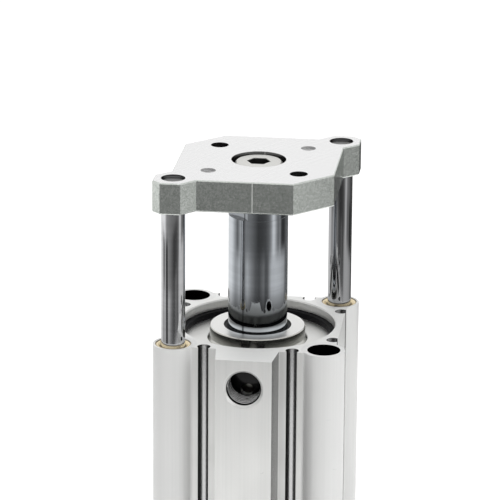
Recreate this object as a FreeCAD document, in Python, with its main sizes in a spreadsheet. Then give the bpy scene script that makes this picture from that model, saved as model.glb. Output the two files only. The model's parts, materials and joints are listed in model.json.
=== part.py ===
"""Guided compact pneumatic cylinder, drawn with its rod fully out.

A square extruded body with four corner bosses holds the bore, the sensor slots, two bolt holes,
two guide holes and the port block.  A loose rod cover, kept in by a retaining ring, closes the
rod end.  The piston rod carries a plate, and two guide rods in the plate slide in bronze bushes
in the body, so that the plate can't turn.

Millimetres, +Z up along the rod, the ports face -Y, and the origin is the middle of the body's
mounting face.
"""
import FreeCAD, Part
import math
import os
import Sketcher

# Driving dimensions.  Each one is a cell of the spreadsheet, under the same name.
SIZES = {
    # travel and running clearances
    "stroke": 40.0,
    "stop_gap": 0.1,            # left between a bumper and its stop at either end of travel
    "running_gap": 0.05,        # radial clearance of what slides
    "fit_gap": 0.02,            # radial clearance of what is pressed or dropped in
    "cut_overrun": 1.0,         # how far a cutting profile runs past the face it cuts
    "edge_break": 0.3,          # small machined chamfers
    # body extrusion
    "side_face_offset": 28.5,   # axis to the flat between two corner bosses
    "mount_pitch": 50.0,        # square on which the corner bosses and bolt holes lie
    "boss_radius": 7.0,
    "boss_root_fillet": 0.8,    # where a corner boss runs into the flats
    "port_block_reach": 39.2,   # axis to the port face
    "port_block_front_width": 18.7,
    "port_block_root_width": 21.0,
    "slot_offset": 14.7,        # sensor slots, either side of the middle of each flat
    "slot_mouth": 3.5,
    "slot_diameter": 4.4,
    "slot_axis_depth": 1.5,
    "bottom_thickness": 7.0,
    # bores of the body
    "bore_diameter": 50.0,
    "seat_diameter": 52.4,      # counterbore that takes the rod cover
    "mouth_chamfer": 0.4,
    "mount_hole_diameter": 6.6,
    "counterbore_diameter": 11.0,
    "counterbore_depth": 8.0,
    "port_drill_diameter": 11.45,
    "port_mouth_diameter": 13.2,
    "port_inset": 10.0,         # port axis to the nearer end face
    "port_hole_depth": 11.0,
    "passage_diameter": 4.5,
    "passage_shift": 4.0,       # rod-end air passage, below the axis of its port
    # rod cover, its seal and its ring
    "cover_depth": 5.3,         # body's top face down to the cover's shoulder
    "cover_length": 12.7,
    "cover_flange_length": 6.2,
    "cover_skirt_diameter": 44.0,
    "cover_boss_diameter": 32.3,
    "cover_boss_drop": 0.7,     # boss top below the body's top face
    "cover_boss_cove": 0.8,
    "cover_ring_groove_width": 2.4,
    "cover_ring_groove_depth": 1.5,
    "cover_ring_groove_inset": 1.8,
    "ring_thickness": 2.0,
    "ring_width": 2.78,         # radial
    "ring_groove_depth": 1.1,
    "ring_groove_width": 2.15,
    "ring_gap_width": 3.6,
    "ring_lug_diameter": 5.4,
    "ring_lug_spacing": 9.4,
    "ring_lug_inset": 4.0,      # seat's wall to the middle of a lug
    "ring_lug_hole_diameter": 2.2,
    "rod_bush_wall": 1.5,
    "rod_bush_length": 11.0,
    "seal_lip_drop": 0.5,
    "seal_relief": 0.2,         # rod to the waist between the seal's two lips
    "seal_mouth_wall": 1.4,     # rod to the edge of the seal housing
    "seal_body_wall": 2.7,
    "seal_body_height": 2.2,
    "seal_cover_lip": 1.1,      # metal above the seal's foot
    # piston and what it carries
    "rod_diameter": 20.0,
    "piston_height": 13.7,
    "piston_land_gap": 0.3,
    "piston_land": 1.2,
    "wear_ring_width": 2.1,
    "wear_ring_thickness": 1.5,
    "piston_seal_width": 3.4,
    "piston_seal_depth": 3.6,
    "magnet_width": 3.4,
    "magnet_depth": 3.2,
    "bumper_thickness": 2.0,
    "bumper_stand": 0.8,        # how far a bumper stands out of the piston
    "bumper_width": 3.6,
    "bumper_mean_diameter": 35.0,
    "spigot_diameter": 12.0,
    "spigot_ring_section": 1.5,
    "nut_width": 19.0,          # across flats
    "nut_height": 6.0,
    "nut_recess_diameter": 24.0,
    "nut_recess_depth": 6.4,
    # rod end
    "rod_end_flat_width": 17.0,
    "rod_end_flat_height": 8.0,
    "rod_end_relief": 0.12,
    "rod_end_chamfer": 0.8,
    "rod_thread_diameter": 10.0,
    "rod_thread_depth": 24.0,
    # guide plate
    "plate_gap": 6.5,           # body to plate with the rod fully in
    "plate_thickness": 10.8,
    "plate_half_width": 26.7,
    "plate_corner_start": 14.5,
    "lobe_reach": 31.6,
    "lobe_root": 17.4,
    "lobe_start": 22.0,
    "lobe_corner": 2.8,
    "plate_edge_break": 0.35,
    "guide_offset": 25.2,       # guide rods from the middle, along X and along Y
    "plate_hole_pitch": 30.0,
    "plate_plain_hole_diameter": 6.0,
    "plate_tapped_hole_diameter": 5.0,
    # screw that holds the plate
    "screw_head_diameter": 16.0,
    "screw_head_height": 6.0,
    "screw_head_drop": 0.6,
    "screw_recess_diameter": 18.3,
    "screw_clearance": 0.3,
    "screw_grip": 22.0,         # shank below the head
    "screw_hex": 7.0,
    "screw_hex_depth": 3.5,
    "screw_head_chamfer": 0.6,
    # guide rods and their bushes
    "guide_rod_diameter": 8.0,
    "guide_rod_floor": 3.0,     # end of a guide rod to the mounting face, rod fully in
    "guide_rod_drop": 0.8,      # end of a guide rod below the plate's top
    "guide_rod_chamfer": 0.8,
    "guide_bush_diameter": 12.0,
    "guide_bush_length": 16.0,
    "guide_bush_drop": 0.25,
    "guide_bush_flare": 1.1,
    "guide_bush_reserve": 1.5,  # rod left below the lower bush when fully out
    "guide_vent_diameter": 9.0,
}

SHEET = "Sizes"
FULL_TURN = 360.0
EIGHTH_TURN = 45.0
CLOSE = 1e-4                    # two lengths or directions closer than this are the same


class Size:
    """A length together with the expression that ties it to the sheet."""

    def __init__(self, value, text):
        self.value = value
        self.text = text

    @staticmethod
    def of(other):
        if isinstance(other, Size):
            return other
        return Size(float(other), repr(float(other)))

    def combine(self, other, value, sign):
        return Size(value, "(%s %s %s)" % (self.text, sign, other.text))

    def __add__(self, other):
        other = Size.of(other)
        return self.combine(other, self.value + other.value, "+")

    def __sub__(self, other):
        other = Size.of(other)
        return self.combine(other, self.value - other.value, "-")

    def __mul__(self, other):
        other = Size.of(other)
        return self.combine(other, self.value * other.value, "*")

    def __truediv__(self, other):
        other = Size.of(other)
        return self.combine(other, self.value / other.value, "/")

    def __neg__(self):
        return Size.of(0) - self


NIL = Size.of(0)


def make_sheet(doc):
    """The spreadsheet of driving dimensions, and a Size for each of its cells."""
    sheet = doc.addObject("Spreadsheet::Sheet", SHEET)
    sizes = {}
    for row, (name, value) in enumerate(SIZES.items(), start=1):
        sheet.set("A%d" % row, name.replace("_", " "))
        sheet.set("B%d" % row, str(value))
        sheet.setAlias("B%d" % row, name)
        sizes[name] = Size(value, "%s.%s" % (SHEET, name))
    doc.recompute()
    return sizes


def origin_item(body, role):
    return next(item for item in body.Origin.OriginFeatures if item.Role == role)


def new_body(doc, name):
    body = doc.addObject("PartDesign::Body", name)
    body.Label = name
    return body


def new_sketch(body, name, role="XY_Plane", level=NIL, turn=0.0):
    """A sketch on one of the body's own origin planes, lifted to a level along its normal."""
    sketch = body.newObject("Sketcher::SketchObject", name)
    sketch.AttachmentSupport = [(origin_item(body, role), "")]
    sketch.MapMode = "FlatFace"
    turned = FreeCAD.Rotation(FreeCAD.Vector(0, 0, 1), turn)
    sketch.AttachmentOffset = FreeCAD.Placement(FreeCAD.Vector(0, 0, level.value), turned)
    sketch.setExpression("AttachmentOffset.Base.z", level.text)
    return sketch


def tie(sketch, kind, geometry, point, size):
    """One dimension of a sketch, bound to the sheet."""
    index = sketch.addConstraint(Sketcher.Constraint(kind, geometry, point, size.value))
    sketch.setExpression("Constraints[%d]" % index, size.text)


def draw_outline(sketch, points):
    """A closed outline whose corners are tied to the sheet."""
    first = sketch.GeometryCount
    count = len(points)
    corners = [FreeCAD.Vector(Size.of(x).value, Size.of(y).value, 0) for x, y in points]
    for i in range(count):
        sketch.addGeometry(Part.LineSegment(corners[i], corners[(i + 1) % count]), False)
    for i in range(count):
        following = first + (i + 1) % count
        sketch.addConstraint(Sketcher.Constraint("Coincident", first + i, 2, following, 1))
    for i, (x, y) in enumerate(points):
        tie(sketch, "DistanceX", first + i, 1, Size.of(x))
        tie(sketch, "DistanceY", first + i, 1, Size.of(y))


def draw_circle(sketch, x, y, diameter):
    x, y = Size.of(x), Size.of(y)
    centre = FreeCAD.Vector(x.value, y.value, 0)
    circle = Part.Circle(centre, FreeCAD.Vector(0, 0, 1), diameter.value / 2)
    index = sketch.addGeometry(circle, False)
    tie(sketch, "DistanceX", index, 3, x)
    tie(sketch, "DistanceY", index, 3, y)
    radius = sketch.addConstraint(Sketcher.Constraint("Radius", index, diameter.value / 2))
    sketch.setExpression("Constraints[%d]" % radius, (diameter / 2).text)


def rectangle(x0, y0, x1, y1):
    return [(x0, y0), (x1, y0), (x1, y1), (x0, y1)]


def pad(body, sketch, length):
    feature = body.newObject("PartDesign::Pad", sketch.Name + "_pad")
    feature.Profile = sketch
    feature.setExpression("Length", length.text)
    feature.Length = length.value
    return feature


def pocket(body, sketch, depth=None, upward=False):
    """A cut down from the sketch, or up from it, or right through both ways."""
    feature = body.newObject("PartDesign::Pocket", sketch.Name + "_pocket")
    feature.Profile = sketch
    if depth is None:
        feature.Type = "ThroughAll"
        feature.Midplane = True
    else:
        feature.Length = depth.value
        feature.setExpression("Length", depth.text)
        feature.Reversed = upward
    return feature


def turned(body, name, points, kind="Revolution"):
    """A full turn of an outline of (radius, height) corners about the body's Z axis."""
    sketch = new_sketch(body, name, "XZ_Plane")
    draw_outline(sketch, points)
    feature = body.newObject("PartDesign::" + kind, name + "_turn")
    feature.Profile = sketch
    feature.ReferenceAxis = (sketch, ["V_Axis"])
    feature.Angle = FULL_TURN
    return feature


def polar(body, name, originals, count):
    """Copies of features, spread evenly about the body's Z axis."""
    pattern = body.newObject("PartDesign::PolarPattern", name)
    pattern.Originals = originals
    pattern.Axis = (origin_item(body, "Z_Axis"), [""])
    pattern.Angle = FULL_TURN
    pattern.Occurrences = count
    body.Tip = pattern
    return pattern


def edge_names(feature, wanted):
    """Names of the feature's edges whose middle point passes a test."""
    named = enumerate(feature.Shape.Edges, start=1)
    return ["Edge%d" % i for i, edge in named if wanted(edge.CenterOfGravity, edge)]


def dress(body, kind, base, edges, name, size):
    """A fillet or a chamfer along chosen edges, its size bound to the sheet."""
    feature = body.newObject("PartDesign::" + kind, name)
    feature.Base = (base, edges)
    prop = "Radius" if kind == "Fillet" else "Size"
    setattr(feature, prop, size.value)
    feature.setExpression(prop, size.text)
    body.Tip = feature
    return feature


def place(body, x=NIL, y=NIL, z=NIL):
    """Puts a finished piece where the sheet says."""
    body.Placement.Base = FreeCAD.Vector(x.value, y.value, z.value)
    for axis, size in zip("xyz", (x, y, z)):
        body.setExpression("Placement.Base." + axis, size.text)


def ring_of(doc, name, mean_diameter, section, level):
    """A rubber ring of round section."""
    ring = doc.addObject("Part::Torus", name)
    ring.Label = name
    ring.Radius1, ring.Radius2 = mean_diameter.value / 2, section.value / 2
    ring.setExpression("Radius1", (mean_diameter / 2).text)
    ring.setExpression("Radius2", (section / 2).text)
    place(ring, z=level)
    return ring


def sleeve(doc, name, inner, outer, low, high, chamfer):
    """A plain bush or ring between two diameters, its outer edges broken."""
    body = new_body(doc, name)
    inside, outside = inner / 2, outer / 2
    turned(body, name + "_profile", [
        (inside, low), (outside - chamfer, low), (outside, low + chamfer),
        (outside, high - chamfer), (outside - chamfer, high), (inside, high)])
    return body


def levels(s):
    """Heights above the mounting face that more than one piece shares."""
    at = {}
    travel_room = s["stroke"] + s["piston_height"] + (s["bumper_stand"] + s["stop_gap"]) * 2
    at["floor"] = s["bottom_thickness"]
    at["cover_bottom"] = at["floor"] + travel_room
    at["cover_top"] = at["cover_bottom"] + s["cover_length"]
    at["seat"] = at["cover_top"] - s["cover_flange_length"]
    at["top"] = at["cover_top"] + s["cover_depth"]
    at["boss_top"] = at["top"] - s["cover_boss_drop"]
    at["piston_top"] = at["cover_bottom"] - s["stop_gap"] - s["bumper_stand"]
    at["piston_bottom"] = at["piston_top"] - s["piston_height"]
    at["plate_bottom"] = at["top"] + s["plate_gap"] + s["stroke"]
    at["plate_top"] = at["plate_bottom"] + s["plate_thickness"]
    at["guide_rod_end"] = s["stroke"] + s["guide_rod_floor"]
    at["lower_bush"] = at["guide_rod_end"] + s["guide_bush_reserve"]
    at["upper_bush_top"] = at["top"] - s["guide_bush_drop"]
    at["seal_foot_top"] = at["boss_top"] - s["seal_cover_lip"]
    at["seal_foot"] = at["seal_foot_top"] - s["seal_body_height"]
    at["ring_groove"] = at["cover_top"]
    return at


def body_extrusion(body, s, at):
    """Square core, corner bosses and port block, the full length of the body."""
    side = s["side_face_offset"]
    core = new_sketch(body, "core")
    draw_outline(core, rectangle(-side, -side, side, side))
    pad(body, core, at["top"])
    half = s["mount_pitch"] / 2
    boss = new_sketch(body, "corner_boss")
    draw_circle(boss, half, half, s["boss_radius"] * 2)
    polar(body, "corner_bosses", [pad(body, boss, at["top"])], 4)
    block = new_sketch(body, "port_block")
    front, root = s["port_block_front_width"] / 2, s["port_block_root_width"] / 2
    reach = s["port_block_reach"]
    draw_outline(block, [(-root, -side), (-front, -reach), (front, -reach), (root, -side),
                         (root, NIL), (-root, NIL)])
    blank = pad(body, block, at["top"])
    body.Document.recompute()
    root_place = half.value - math.sqrt(s["boss_radius"].value ** 2
                                        - (side - half).value ** 2)

    def in_boss_root(middle, edge):
        upright = abs(edge.tangentAt(edge.FirstParameter).z) > 1 - CLOSE
        flat, along = sorted((abs(middle.x), abs(middle.y)), reverse=True)
        return upright and abs(flat - side.value) < CLOSE and abs(along - root_place) < CLOSE

    roots = edge_names(blank, in_boss_root)
    dress(body, "Fillet", blank, roots, "boss_root_fillets", s["boss_root_fillet"])


def sensor_slots(body, s):
    """Two keyhole slots along each flat, for position sensors."""
    side = s["side_face_offset"]
    axis = side - s["slot_axis_depth"]
    keyholes = new_sketch(body, "slot_keyholes")
    mouths = new_sketch(body, "slot_mouths")
    half_mouth = s["slot_mouth"] / 2
    for middle in (-s["slot_offset"], s["slot_offset"]):
        draw_circle(keyholes, middle, -axis, s["slot_diameter"])
        draw_outline(mouths, rectangle(middle - half_mouth, -side - s["cut_overrun"],
                                       middle + half_mouth, -axis))
    polar(body, "slot_pattern", [pocket(body, keyholes), pocket(body, mouths)], 4)


def body_bore(body, s, at):
    """Bore, seat of the rod cover and groove of the retaining ring, in one turned profile."""
    bore, seat = s["bore_diameter"] / 2, s["seat_diameter"] / 2
    groove = seat + s["ring_groove_depth"]
    groove_top = at["ring_groove"] + s["ring_groove_width"]
    mouth = seat + s["mouth_chamfer"]
    past = at["top"] + s["cut_overrun"]
    turned(body, "bore_profile", [
        (NIL, at["floor"]), (bore, at["floor"]), (bore, at["seat"]), (seat, at["seat"]),
        (seat, at["ring_groove"]), (groove, at["ring_groove"]), (groove, groove_top),
        (seat, groove_top), (seat, at["top"] - s["mouth_chamfer"]), (mouth, at["top"]),
        (mouth, past), (NIL, past)], "Groove")


def corner_holes(body, s, at):
    """Bolt holes on one diagonal, counterbored at both ends; guide holes on the other."""
    mount, guide = s["mount_pitch"] / 2, s["guide_offset"]
    bolt_places = [(mount, -mount), (-mount, mount)]
    guide_places = [(-guide, -guide), (guide, guide)]

    def drill(name, places, diameter, level=NIL, depth=None, upward=False):
        sketch = new_sketch(body, name, level=level)
        for x, y in places:
            draw_circle(sketch, x, y, diameter)
        pocket(body, sketch, depth, upward)

    drill("mount_holes", bolt_places, s["mount_hole_diameter"])
    bore, depth = s["counterbore_diameter"], s["counterbore_depth"]
    drill("top_counterbores", bolt_places, bore, at["top"], depth)
    drill("bottom_counterbores", bolt_places, bore, NIL, depth, True)
    drill("guide_vents", guide_places, s["guide_vent_diameter"])
    drill("guide_holes", guide_places, s["guide_bush_diameter"], at["top"],
          at["top"] - at["lower_bush"])


def port(body, s, name, axis_level, passage_level):
    """A chamfered, tapped-size port hole in the block, with an air passage on into the bore."""
    reach = s["port_block_reach"]
    sketch = new_sketch(body, name + "_profile", "YZ_Plane")
    drill, mouth = s["port_drill_diameter"] / 2, s["port_mouth_diameter"] / 2
    chamfer = mouth - drill
    end, past = -reach + s["port_hole_depth"], -reach - s["cut_overrun"]
    draw_outline(sketch, [
        (past, axis_level), (end, axis_level), (end, axis_level + drill),
        (-reach + chamfer, axis_level + drill), (-reach, axis_level + mouth),
        (past, axis_level + mouth)])
    hole = body.newObject("PartDesign::Groove", name + "_hole")
    hole.Profile = sketch
    hole.ReferenceAxis = (sketch, ["Edge1"])
    hole.Angle = FULL_TURN
    passage = new_sketch(body, name + "_passage", "XZ_Plane", reach - s["port_hole_depth"])
    draw_circle(passage, NIL, passage_level, s["passage_diameter"])
    bore_side = s["bore_diameter"] / 2 - s["cut_overrun"]
    pocket(body, passage, reach - s["port_hole_depth"] - bore_side)


def cylinder_tube(doc, s, at):
    body = new_body(doc, "cylinder_tube")
    body_extrusion(body, s, at)
    sensor_slots(body, s)
    body_bore(body, s, at)
    corner_holes(body, s, at)
    upper, lower = at["top"] - s["port_inset"], s["port_inset"]
    port(body, s, "rod_port", upper, upper - s["passage_shift"])
    port(body, s, "head_port", lower, lower)


def rod_cover(doc, s, at):
    body = new_body(doc, "rod_cover")
    low, high, seat = at["cover_bottom"], at["cover_top"], at["seat"]
    edge, cove = s["edge_break"], s["cover_boss_cove"]
    bush = s["rod_diameter"] / 2 + s["rod_bush_wall"]
    foot = s["rod_diameter"] / 2 + s["seal_body_wall"]
    mouth = s["rod_diameter"] / 2 + s["seal_mouth_wall"]
    skirt, boss = s["cover_skirt_diameter"] / 2, s["cover_boss_diameter"] / 2
    flange = s["seat_diameter"] / 2 - s["fit_gap"]
    root = flange - s["cover_ring_groove_depth"]
    groove = seat + s["cover_ring_groove_inset"]
    groove_top = groove + s["cover_ring_groove_width"]
    turned(body, "rod_cover_profile", [
        (bush, low), (skirt, low), (skirt, seat), (flange, seat), (flange, groove),
        (root, groove), (root, groove_top), (flange, groove_top), (flange, high - edge),
        (flange - edge, high), (boss + cove, high), (boss, high + cove),
        (boss, at["boss_top"] - edge), (boss - edge, at["boss_top"]), (mouth, at["boss_top"]),
        (mouth, at["seal_foot_top"]), (foot, at["seal_foot_top"]), (foot, at["seal_foot"]),
        (bush, at["seal_foot"])])


def rod_cover_o_ring(doc, s, at):
    gap = s["cover_ring_groove_depth"] + s["fit_gap"]
    section = gap - s["fit_gap"] * 2
    middle = at["seat"] + s["cover_ring_groove_inset"] + s["cover_ring_groove_width"] / 2
    ring_of(doc, "rod_cover_o_ring", s["seat_diameter"] - gap, section, middle)


def retaining_ring(doc, s, at):
    """Spring ring with two lugs for pliers, in its groove over the rod cover."""
    body = new_body(doc, "retaining_ring")
    level = at["ring_groove"]
    thickness = s["ring_thickness"]
    lug_middle = s["seat_diameter"] / 2 - s["ring_lug_inset"]
    outer = s["seat_diameter"] + (s["ring_groove_depth"] - s["fit_gap"]) * 2
    band = new_sketch(body, "ring_band", level=level)
    draw_circle(band, NIL, NIL, outer)
    draw_circle(band, NIL, NIL, outer - s["ring_width"] * 2)
    pad(body, band, thickness)
    for hand, side in (("left", -1.0), ("right", 1.0)):
        x = s["ring_lug_spacing"] / 2 * side
        lug = new_sketch(body, "lug_" + hand, level=level)
        draw_circle(lug, x, -lug_middle, s["ring_lug_diameter"])
        pad(body, lug, thickness)
        eye = new_sketch(body, "lug_eye_" + hand, level=level)
        draw_circle(eye, x, -lug_middle, s["ring_lug_hole_diameter"])
        pocket(body, eye)
    gap = new_sketch(body, "ring_gap", level=level)
    half = s["ring_gap_width"] / 2
    inner_end = -lug_middle + s["ring_lug_diameter"]
    draw_outline(gap, rectangle(-half, -outer, half, inner_end))
    pocket(body, gap)


def rod_bush(doc, s, at):
    inner = s["rod_diameter"] + s["running_gap"] * 2
    outer = s["rod_diameter"] + s["rod_bush_wall"] * 2 - s["fit_gap"] * 2
    high = at["seal_foot"] - s["edge_break"]
    sleeve(doc, "rod_bush", inner, outer, high - s["rod_bush_length"], high, s["edge_break"])


def rod_seal(doc, s, at):
    """Wiper seal: a foot held under the cover's lip, a neck and a sharp lip on the rod."""
    body = new_body(doc, "rod_seal")
    rod, fit = s["rod_diameter"] / 2, s["fit_gap"]
    lip, relief = rod + s["running_gap"], rod + s["seal_relief"]
    foot = rod + s["seal_body_wall"] - fit
    neck = rod + s["seal_mouth_wall"] - fit
    low, foot_top = at["seal_foot"] + fit, at["seal_foot_top"] - fit
    high = at["boss_top"] - s["seal_lip_drop"]
    middle = (low + high) / 2
    turned(body, "rod_seal_profile", [
        (lip, low), (foot, low), (foot, foot_top), (neck, foot_top), (neck, high),
        (lip + s["edge_break"], high), (lip, high - s["edge_break"]),
        (relief, middle)])


def piston_stack(s, at):
    """Grooves of the piston, from its head side up: magnet, seal, wear ring."""
    land = s["piston_land"]
    magnet = at["piston_bottom"] + land
    seal = magnet + s["magnet_width"] + land
    wear = seal + s["piston_seal_width"] + land
    return magnet, seal, wear


def piston(doc, s, at):
    body = new_body(doc, "piston")
    outer = s["bore_diameter"] / 2 - s["piston_land_gap"]
    bore = s["bore_diameter"] / 2
    magnet, seal, wear = piston_stack(s, at)
    low, high, edge = at["piston_bottom"], at["piston_top"], s["edge_break"]
    spigot = s["spigot_diameter"] / 2 + s["fit_gap"]
    nut = s["nut_recess_diameter"] / 2
    recess = s["bumper_thickness"] - s["bumper_stand"]
    pad_in = (s["bumper_mean_diameter"] - s["bumper_width"]) / 2 - s["fit_gap"]
    pad_out = (s["bumper_mean_diameter"] + s["bumper_width"]) / 2 + s["fit_gap"]
    ring = spigot + s["spigot_ring_section"] + s["fit_gap"]
    ring_depth = s["spigot_ring_section"] + s["fit_gap"]

    def groove(level, width, depth):
        root = bore - depth
        return [(outer, level), (root, level), (root, level + width), (outer, level + width)]

    points = [(nut, low), (pad_in, low), (pad_in, low + recess), (pad_out, low + recess),
              (pad_out, low), (outer - edge, low), (outer, low + edge)]
    points += groove(magnet, s["magnet_width"], s["magnet_depth"])
    points += groove(seal, s["piston_seal_width"], s["piston_seal_depth"])
    points += groove(wear, s["wear_ring_width"], s["wear_ring_thickness"])
    points += [(outer, high - edge), (outer - edge, high), (pad_out, high),
               (pad_out, high - recess), (pad_in, high - recess), (pad_in, high),
               (ring, high), (ring, high - ring_depth), (spigot, high - ring_depth),
               (spigot, low + s["nut_recess_depth"]), (nut, low + s["nut_recess_depth"])]
    turned(body, "piston_profile", points)


def piston_bumpers(doc, s, at):
    """Rubber rings let into both faces of the piston."""
    inner = s["bumper_mean_diameter"] - s["bumper_width"]
    outer = s["bumper_mean_diameter"] + s["bumper_width"]
    stand, thick = s["bumper_stand"], s["bumper_thickness"]
    top, bottom = at["piston_top"] + stand, at["piston_bottom"] - stand
    sleeve(doc, "rod_bumper", inner, outer, top - thick, top, s["edge_break"])
    sleeve(doc, "head_bumper", inner, outer, bottom, bottom + thick, s["edge_break"])


def piston_rings(doc, s, at):
    magnet, seal, wear = piston_stack(s, at)
    bore, fit, run = s["bore_diameter"], s["fit_gap"], s["running_gap"] * 2
    land = s["piston_land_gap"] * 2

    def fill(name, level, width, depth, outer):
        inner = bore - depth * 2 + fit * 2
        return sleeve(doc, name, inner, outer, level + fit, level + width - fit, fit)

    fill("piston_magnet", magnet, s["magnet_width"], s["magnet_depth"], bore - land)
    fill("piston_wear_ring", wear, s["wear_ring_width"], s["wear_ring_thickness"], bore - run)
    body = new_body(doc, "piston_seal")
    low, high = seal + fit, seal + s["piston_seal_width"] - fit
    root, lip = bore / 2 - s["piston_seal_depth"] + fit, bore / 2 - s["running_gap"]
    waist = bore / 2 - s["piston_land_gap"] * 2
    third = (high - low) / 3
    turned(body, "piston_seal_profile", [
        (root, low), (waist, low), (lip, low + third / 2), (lip, low + third),
        (waist, (low + high) / 2), (lip, high - third), (lip, high - third / 2),
        (waist, high), (root, high)])


def piston_o_ring(doc, s, at):
    """Static ring between the piston and the shoulder of its rod."""
    section = s["spigot_ring_section"]
    mean = s["spigot_diameter"] + s["fit_gap"] * 3 + section
    ring_of(doc, "piston_o_ring", mean, section - s["fit_gap"], at["piston_top"] - section / 2)


def hexagon(width):
    """Corners of a hexagon that is so wide across its flats."""
    corner = width / math.sqrt(3)
    turns = [math.radians(60 * i) for i in range(6)]
    return [(corner * math.cos(a), corner * math.sin(a)) for a in turns]


def piston_nut(doc, s, at):
    body = new_body(doc, "piston_nut")
    top = at["piston_bottom"] + s["nut_recess_depth"]
    low = top - s["nut_height"]
    blank = new_sketch(body, "nut_hexagon", level=low)
    draw_outline(blank, hexagon(s["nut_width"]))
    pad(body, blank, s["nut_height"])
    hole = new_sketch(body, "nut_hole", level=low)
    draw_circle(hole, NIL, NIL, s["spigot_diameter"] + s["fit_gap"] * 2)
    pocket(body, hole)


def piston_rod(doc, s, at):
    body = new_body(doc, "piston_rod")
    rod, spigot = s["rod_diameter"] / 2, s["spigot_diameter"] / 2
    thread = s["rod_thread_diameter"] / 2 + s["fit_gap"]
    low, high, step = at["piston_bottom"], at["plate_bottom"], at["piston_top"]
    edge, chamfer = s["edge_break"], s["rod_end_chamfer"]
    blind = high - s["rod_thread_depth"]
    end = rod - s["rod_end_relief"]
    flats = high - s["rod_end_flat_height"]
    start = low + s["nut_recess_depth"] - s["nut_height"]
    turned(body, "rod_profile", [
        (NIL, start), (spigot - edge, start), (spigot, start + edge), (spigot, step),
        (rod, step), (rod, flats), (end, flats), (end, high - chamfer), (end - chamfer, high),
        (thread + edge, high), (thread, high - edge), (thread, blind), (NIL, blind - thread)])
    flat = s["rod_end_flat_width"] / 2
    sketch = new_sketch(body, "spanner_flats", level=high, turn=EIGHTH_TURN)
    for side in (-1.0, 1.0):
        edges = sorted((flat * side, s["rod_diameter"] * side), key=lambda size: size.value)
        draw_outline(sketch, rectangle(edges[0], -s["rod_diameter"],
                                       edges[1], s["rod_diameter"]))
    pocket(body, sketch, s["rod_end_flat_height"])


def plate_outline(s):
    """Square with two corners cut off and a lobe at each of the other two."""
    half, cut = s["plate_half_width"], s["plate_corner_start"]
    reach, root, start = s["lobe_reach"], s["lobe_root"], s["lobe_start"]
    corner = reach - s["lobe_corner"]
    right = [(half, -cut), (half, root), (reach, start), (reach, corner), (corner, reach),
             (start, reach), (root, half), (-cut, half)]
    return right + [(-x, -y) for x, y in right]


def guide_plate(doc, s, at):
    body = new_body(doc, "guide_plate")
    low, top = at["plate_bottom"], at["plate_top"]
    blank = new_sketch(body, "plate_outline", level=low)
    draw_outline(blank, plate_outline(s))
    slab = pad(body, blank, s["plate_thickness"])
    body.Document.recompute()
    rims = edge_names(slab, lambda middle, edge: abs(middle.z - (low + top).value / 2) > CLOSE)
    dress(body, "Chamfer", slab, rims, "plate_edges", s["plate_edge_break"])
    guide, half = s["guide_offset"], s["plate_hole_pitch"] / 2
    holes = new_sketch(body, "guide_rod_holes", level=low)
    for x, y in ((guide, guide), (-guide, -guide)):
        draw_circle(holes, x, y, s["guide_rod_diameter"] + s["fit_gap"] * 2)
    pocket(body, holes)
    screw = new_sketch(body, "screw_hole", level=low)
    draw_circle(screw, NIL, NIL, s["rod_thread_diameter"] + s["screw_clearance"] * 2)
    pocket(body, screw)
    recess = new_sketch(body, "screw_recess", level=top)
    draw_circle(recess, NIL, NIL, s["screw_recess_diameter"])
    pocket(body, recess, s["screw_head_height"] + s["screw_head_drop"])
    patterns = (("plain", s["plate_plain_hole_diameter"], ((half, -half), (-half, half))),
                ("tapped", s["plate_tapped_hole_diameter"], ((half, half), (-half, -half))))
    for name, diameter, places in patterns:
        drilled = new_sketch(body, name + "_holes", level=low)
        for x, y in places:
            draw_circle(drilled, x, y, diameter)
        pocket(body, drilled)


def plate_screw(doc, s, at):
    """Low-head socket screw through the plate into the rod."""
    body = new_body(doc, "plate_screw")
    head, shank = s["screw_head_diameter"] / 2, s["rod_thread_diameter"] / 2
    top = at["plate_top"] - s["screw_head_drop"]
    seat = top - s["screw_head_height"]
    end = seat - s["screw_grip"]
    edge = s["screw_head_chamfer"]
    turned(body, "screw_profile", [
        (NIL, end), (shank - edge, end), (shank, end + edge), (shank, seat), (head, seat),
        (head, top - edge), (head - edge, top), (NIL, top)])
    socket = new_sketch(body, "screw_socket", level=top)
    draw_outline(socket, hexagon(s["screw_hex"]))
    pocket(body, socket, s["screw_hex_depth"])


def guide_set(doc, s, at, name, side):
    """One guide rod and its two bushes; side is -1 for the front left rod, 1 for the rear right."""
    across = s["guide_offset"] * side
    rod, bush = s["guide_rod_diameter"] / 2, s["guide_bush_diameter"] / 2 - s["fit_gap"]
    low, high = at["guide_rod_end"], at["plate_top"] - s["guide_rod_drop"]
    chamfer, edge = s["guide_rod_chamfer"], s["edge_break"]
    body = new_body(doc, "guide_rod_" + name)
    turned(body, "guide_rod_profile_" + name, [
        (NIL, low), (rod - chamfer, low), (rod, low + chamfer), (rod, high - chamfer),
        (rod - chamfer, high), (NIL, high)])
    place(body, across, across)
    inner, flare = rod + s["running_gap"], s["guide_bush_flare"]
    upper_top, lower = at["upper_bush_top"], at["lower_bush"]
    spans = (("upper", upper_top - s["guide_bush_length"], upper_top, flare),
             ("lower", lower, lower + s["guide_bush_length"], edge))
    for level, start, stop, funnel in spans:
        body = new_body(doc, "guide_bush_%s_%s" % (name, level))
        turned(body, "bush_profile_%s_%s" % (name, level), [
            (inner + edge, start), (bush - edge, start), (bush, start + edge), (bush, stop),
            (inner + funnel, stop), (inner, stop - funnel), (inner, start + edge)])
        place(body, across, across)


def broken_objects(doc):
    return [item.Name for item in doc.Objects
            if "Invalid" in item.State or "Error" in item.State]


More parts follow.
